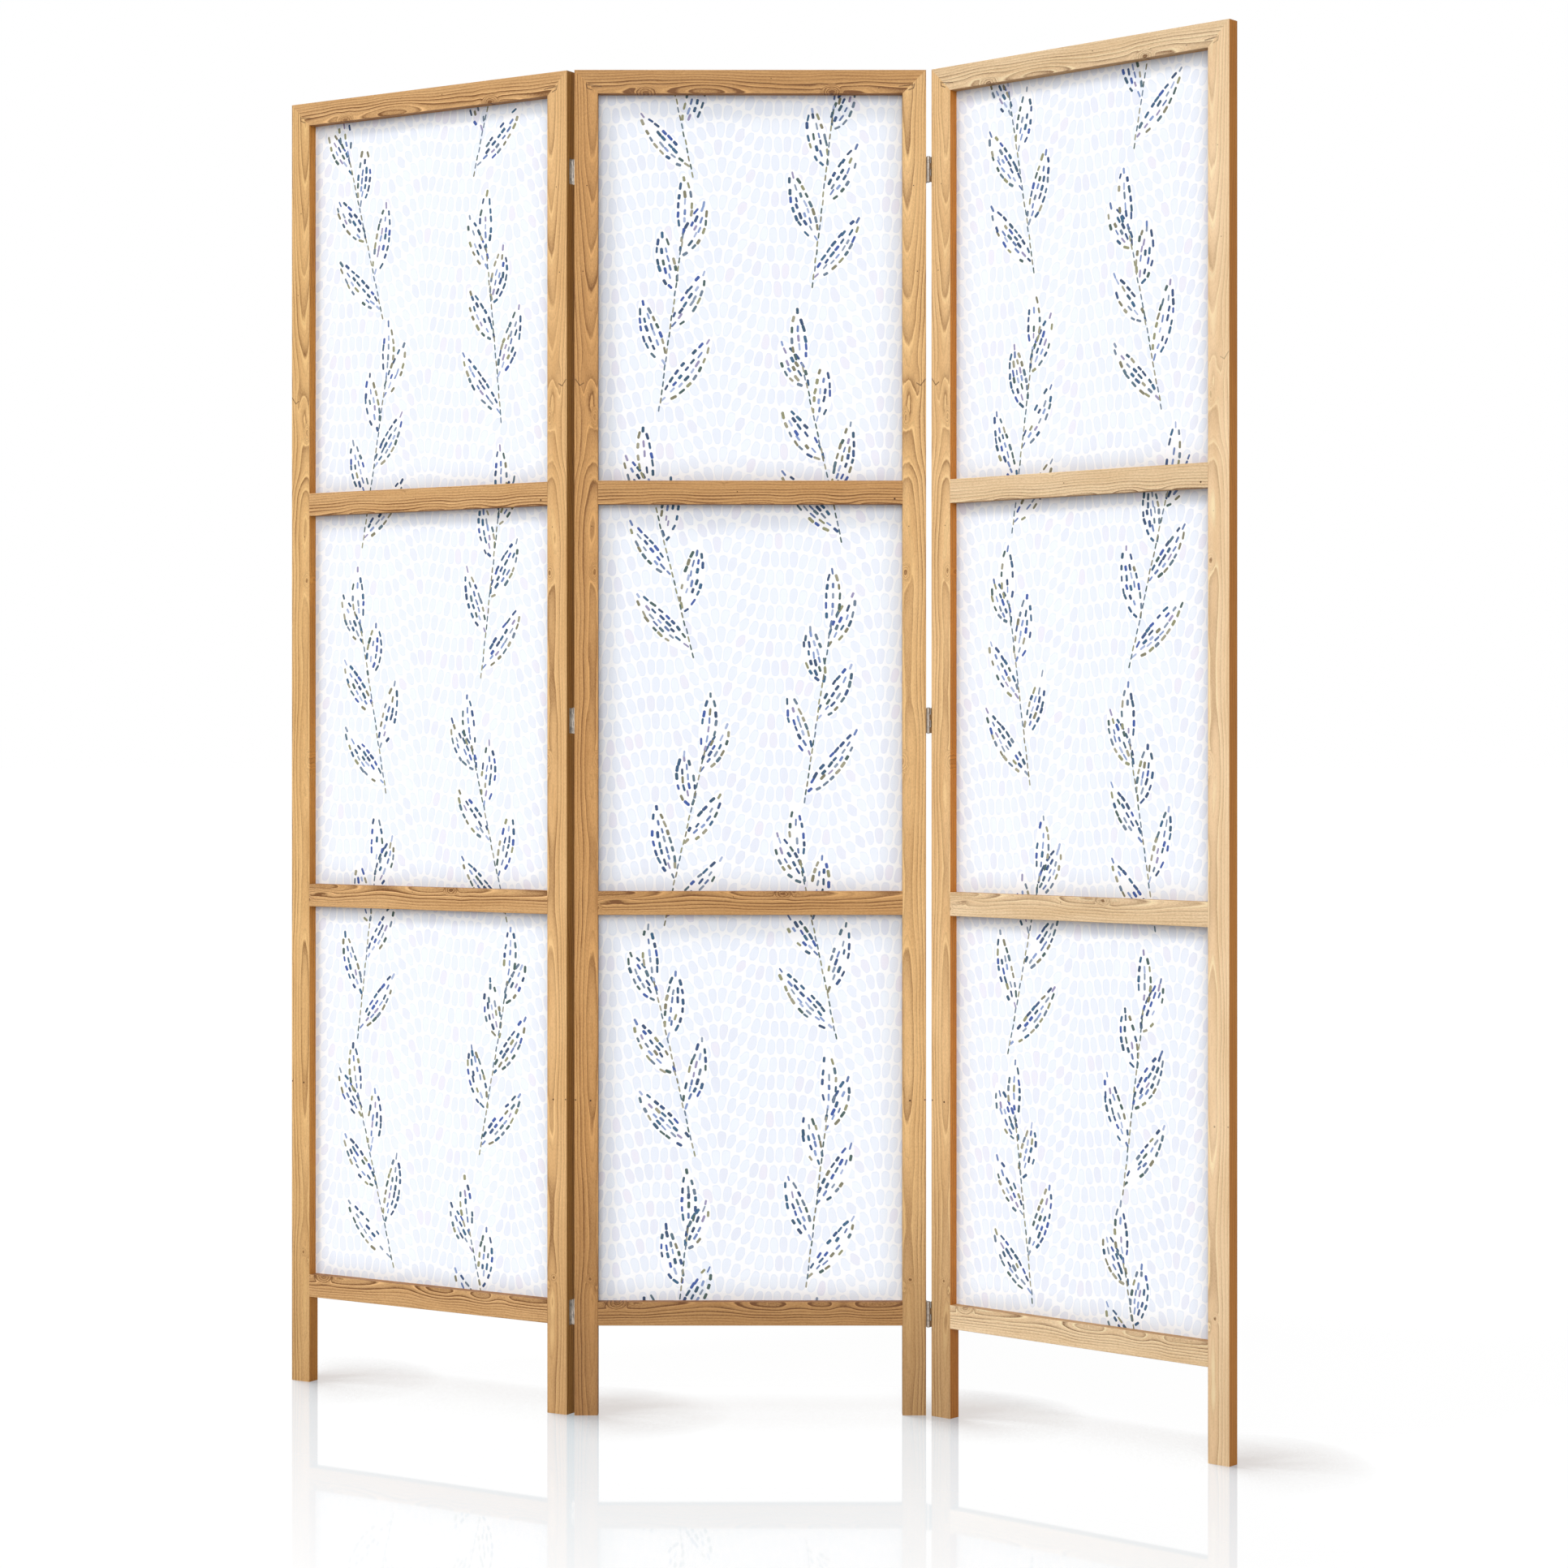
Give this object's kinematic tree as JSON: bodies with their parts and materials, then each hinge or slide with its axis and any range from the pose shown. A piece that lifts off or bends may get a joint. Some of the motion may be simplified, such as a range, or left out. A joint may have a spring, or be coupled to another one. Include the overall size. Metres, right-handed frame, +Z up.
{
  "type": "folding screen",
  "caption": "Free-standing room divider of hinged pine frames with printed canvas, folding like a concertina.",
  "frame": {"origin": "on the floor, in the middle of the box around the screen as it stands in the picture", "axes": "+Z up; the printed side faces -Y; +X to the right seen from the front"},
  "size_m": [1.1972, 0.5412, 1.71],
  "materials": {
    "pine_frame": "planed and oiled pine, fine grain",
    "pine_bead": "planed pine strip",
    "printed_canvas": "matt woven canvas, printed on the front",
    "beech_dowel": "turned beech",
    "pin_steel": "plain steel wire",
    "screw_steel": "zinc plated",
    "hinge_steel": "nickel plated, satin",
    "hinge_pin_steel": "nickel plated, satin"
  },
  "bodies": {
    "left_panel": {"left_panel_left_stile": "pine_frame", "left_panel_right_stile": "pine_frame", "left_panel_top_rail": "pine_frame", "left_panel_upper_rail": "pine_frame", "left_panel_lower_rail": "pine_frame", "left_panel_bottom_rail": "pine_frame", "left_panel_left_bead": "pine_bead", "left_panel_right_bead": "pine_bead", "left_panel_top_bead": "pine_bead", "left_panel_bottom_bead": "pine_bead", "left_panel_canvas": "printed_canvas", "left_panel_dowels": "beech_dowel", "left_panel_bead_pins": "pin_steel", "left_panel_hinge_screws": "screw_steel", "left_bottom_hinge_outer_leaf": "hinge_steel", "left_middle_hinge_outer_leaf": "hinge_steel", "left_top_hinge_outer_leaf": "hinge_steel"},
    "centre_panel": {"centre_panel_left_stile": "pine_frame", "centre_panel_right_stile": "pine_frame", "centre_panel_top_rail": "pine_frame", "centre_panel_upper_rail": "pine_frame", "centre_panel_lower_rail": "pine_frame", "centre_panel_bottom_rail": "pine_frame", "centre_panel_left_bead": "pine_bead", "centre_panel_right_bead": "pine_bead", "centre_panel_top_bead": "pine_bead", "centre_panel_bottom_bead": "pine_bead", "centre_panel_canvas": "printed_canvas", "centre_panel_dowels": "beech_dowel", "centre_panel_bead_pins": "pin_steel", "centre_panel_hinge_screws": "screw_steel", "left_bottom_hinge_centre_leaf": "hinge_steel", "left_bottom_hinge_pin": "hinge_pin_steel", "left_middle_hinge_centre_leaf": "hinge_steel", "left_middle_hinge_pin": "hinge_pin_steel", "left_top_hinge_centre_leaf": "hinge_steel", "left_top_hinge_pin": "hinge_pin_steel", "right_bottom_hinge_centre_leaf": "hinge_steel", "right_bottom_hinge_pin": "hinge_pin_steel", "right_middle_hinge_centre_leaf": "hinge_steel", "right_middle_hinge_pin": "hinge_pin_steel", "right_top_hinge_centre_leaf": "hinge_steel", "right_top_hinge_pin": "hinge_pin_steel"},
    "right_panel": {"right_panel_left_stile": "pine_frame", "right_panel_right_stile": "pine_frame", "right_panel_top_rail": "pine_frame", "right_panel_upper_rail": "pine_frame", "right_panel_lower_rail": "pine_frame", "right_panel_bottom_rail": "pine_frame", "right_panel_left_bead": "pine_bead", "right_panel_right_bead": "pine_bead", "right_panel_top_bead": "pine_bead", "right_panel_bottom_bead": "pine_bead", "right_panel_canvas": "printed_canvas", "right_panel_dowels": "beech_dowel", "right_panel_bead_pins": "pin_steel", "right_panel_hinge_screws": "screw_steel", "right_bottom_hinge_outer_leaf": "hinge_steel", "right_middle_hinge_outer_leaf": "hinge_steel", "right_top_hinge_outer_leaf": "hinge_steel"}
  },
  "joints": [
    {"name": "left_fold", "type": "hinge", "parent": "centre_panel", "child": "left_panel", "pos_m": [-0.20501, 0.04269, 0.883], "axis": [0, 0, -1], "range_deg": [-30.8, 149.2]},
    {"name": "right_fold", "type": "hinge", "parent": "centre_panel", "child": "right_panel", "pos_m": [0.24489, 0.02094, 0.883], "axis": [0, 0, -1], "range_deg": [-48.8, 139.2]}
  ]
}
